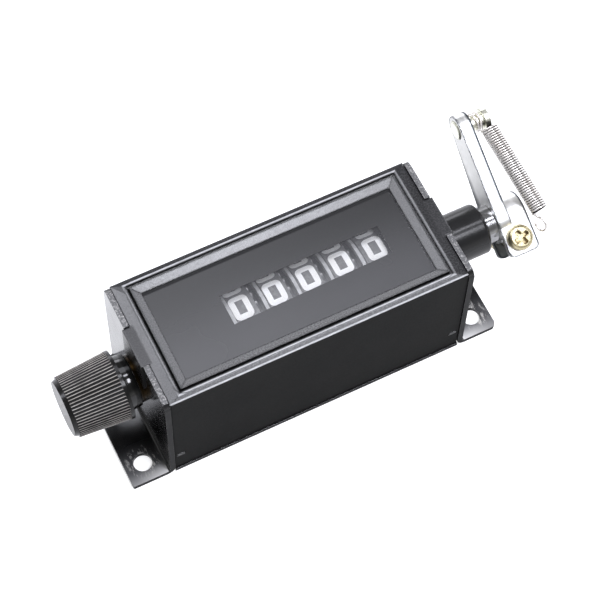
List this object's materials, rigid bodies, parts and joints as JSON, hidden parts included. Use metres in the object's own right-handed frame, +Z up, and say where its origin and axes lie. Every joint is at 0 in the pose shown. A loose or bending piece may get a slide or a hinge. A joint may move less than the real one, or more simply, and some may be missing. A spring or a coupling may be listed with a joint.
{
  "type": "ratchet machine counter",
  "caption": "Footed mechanical counter: digit window on top, sprung drive lever with hooked spring at one end of the shaft and fluted reset knob at the other.",
  "frame": {"origin": "centre of the four foot holes, on the underside of the feet", "axes": "+X along the shaft towards the drive lever, +Y towards the side that the lever's arm points to, +Z up out of the window"},
  "size_m": [0.1084, 0.0352, 0.0336],
  "materials": {
    "black_paint": "satin black stove enamel on pressed steel",
    "cover_black": "moulded black plastic, satin",
    "clear_panel": "clear polished panel",
    "mask_print": "dark grey printed mask",
    "brass": "turned brass",
    "boss_black": "black satin turned boss",
    "knob_black": "black fluted plastic",
    "collar_polish": "polished black",
    "wheel_black": "black moulded digit wheel with white digits",
    "gear_white": "white moulded plastic",
    "bright_steel": "ground steel",
    "bright_zinc": "bright zinc plated steel",
    "yellow_zinc": "yellow chromated zinc plate",
    "spring_nickel": "nickel plated spring wire"
  },
  "bodies": {
    "housing": {"left_end_bracket": "black_paint", "right_end_bracket": "black_paint", "base_plate": "black_paint", "cover": "cover_black", "window_panel": "clear_panel", "dial_mask": "mask_print", "knob_bush": "brass", "drive_bush": "boss_black", "pinion_shaft": "bright_steel", "click_spring": "bright_steel", "click_rivet": "bright_steel", "return_spring": "bright_steel", "stop_pin": "bright_steel"},
    "lever_assembly": {"drive_shaft": "bright_steel", "drive_plate": "bright_steel", "pawl_pin": "bright_steel", "pawl_spring": "bright_steel", "lever_washer": "bright_zinc", "drive_lever": "bright_zinc", "clamp_screw": "yellow_zinc", "clamp_nut": "yellow_zinc", "spring_stud": "bright_zinc"},
    "pawl": {"drive_pawl": "bright_steel"},
    "hooked_spring": {"link_spring": "spring_nickel"},
    "units_wheel": {"number_wheel_5": "wheel_black", "ratchet_wheel": "bright_steel"},
    "reset_assembly": {"reset_shaft": "bright_steel", "spacer_sleeve": "bright_steel", "knob_collar": "collar_polish", "reset_knob": "knob_black"},
    "wheel_1": {"number_wheel_1": "wheel_black"},
    "pinion_1": {"transfer_pinion_1": "gear_white"},
    "wheel_2": {"number_wheel_2": "wheel_black"},
    "pinion_2": {"transfer_pinion_2": "gear_white"},
    "wheel_3": {"number_wheel_3": "wheel_black"},
    "pinion_3": {"transfer_pinion_3": "gear_white"},
    "wheel_4": {"number_wheel_4": "wheel_black"},
    "pinion_4": {"transfer_pinion_4": "gear_white"}
  },
  "joints": [
    {"name": "lever_stroke", "type": "hinge", "parent": "housing", "child": "lever_assembly", "pos_m": [0, 0, 0.0187], "axis": [-1, 0, 0], "range_deg": [0, 36], "stiffness_Nm_per_rad": 0.03, "springref_deg": -28.65, "deforming": ["click_spring"]},
    {"name": "units_count", "type": "hinge", "parent": "housing", "child": "units_wheel", "pos_m": [0, 0, 0.0187], "axis": [-1, 0, 0], "range_deg": [0, 36]},
    {"name": "reset_turn", "type": "hinge", "parent": "housing", "child": "reset_assembly", "pos_m": [0, 0, 0.0187], "axis": [-1, 0, 0], "continuous": true},
    {"name": "wheel_1_turn", "type": "hinge", "parent": "housing", "child": "wheel_1", "pos_m": [0, 0, 0.0187], "axis": [-1, 0, 0], "continuous": true},
    {"name": "pinion_1_turn", "type": "hinge", "parent": "housing", "child": "pinion_1", "pos_m": [0, 0.0056, 0.009], "axis": [-1, 0, 0], "continuous": true},
    {"name": "wheel_2_turn", "type": "hinge", "parent": "housing", "child": "wheel_2", "pos_m": [0, 0, 0.0187], "axis": [-1, 0, 0], "continuous": true},
    {"name": "pinion_2_turn", "type": "hinge", "parent": "housing", "child": "pinion_2", "pos_m": [0, 0.0056, 0.009], "axis": [-1, 0, 0], "continuous": true},
    {"name": "wheel_3_turn", "type": "hinge", "parent": "housing", "child": "wheel_3", "pos_m": [0, 0, 0.0187], "axis": [-1, 0, 0], "continuous": true},
    {"name": "pinion_3_turn", "type": "hinge", "parent": "housing", "child": "pinion_3", "pos_m": [0, 0.0056, 0.009], "axis": [-1, 0, 0], "continuous": true},
    {"name": "wheel_4_turn", "type": "hinge", "parent": "housing", "child": "wheel_4", "pos_m": [0, 0, 0.0187], "axis": [-1, 0, 0], "continuous": true},
    {"name": "pinion_4_turn", "type": "hinge", "parent": "housing", "child": "pinion_4", "pos_m": [0, 0.0056, 0.009], "axis": [-1, 0, 0], "continuous": true},
    {"name": "pawl_lift", "type": "hinge", "parent": "lever_assembly", "child": "pawl", "pos_m": [0, -0.00476, 0.02562], "axis": [1, 0, 0], "range_deg": [0, 10], "stiffness_Nm_per_rad": 0.0002, "springref_deg": -17.19, "deforming": ["pawl_spring"]},
    {"name": "spring_swing", "type": "hinge", "parent": "lever_assembly", "child": "hooked_spring", "pos_m": [0.05015, 0.01733, 0.03047], "axis": [-1, 0, 0], "range_deg": [0, 180]}
  ],
  "couplings": [
    {"joint": "units_count", "follows": "lever_stroke", "ratio": 1},
    {"joint": "wheel_1_turn", "follows": "reset_turn", "ratio": 1},
    {"joint": "pinion_1_turn", "follows": "reset_turn", "ratio": -2.5},
    {"joint": "wheel_2_turn", "follows": "reset_turn", "ratio": 1},
    {"joint": "pinion_2_turn", "follows": "reset_turn", "ratio": -2.5},
    {"joint": "wheel_3_turn", "follows": "reset_turn", "ratio": 1},
    {"joint": "pinion_3_turn", "follows": "reset_turn", "ratio": -2.5},
    {"joint": "wheel_4_turn", "follows": "reset_turn", "ratio": 1},
    {"joint": "pinion_4_turn", "follows": "reset_turn", "ratio": -2.5}
  ]
}
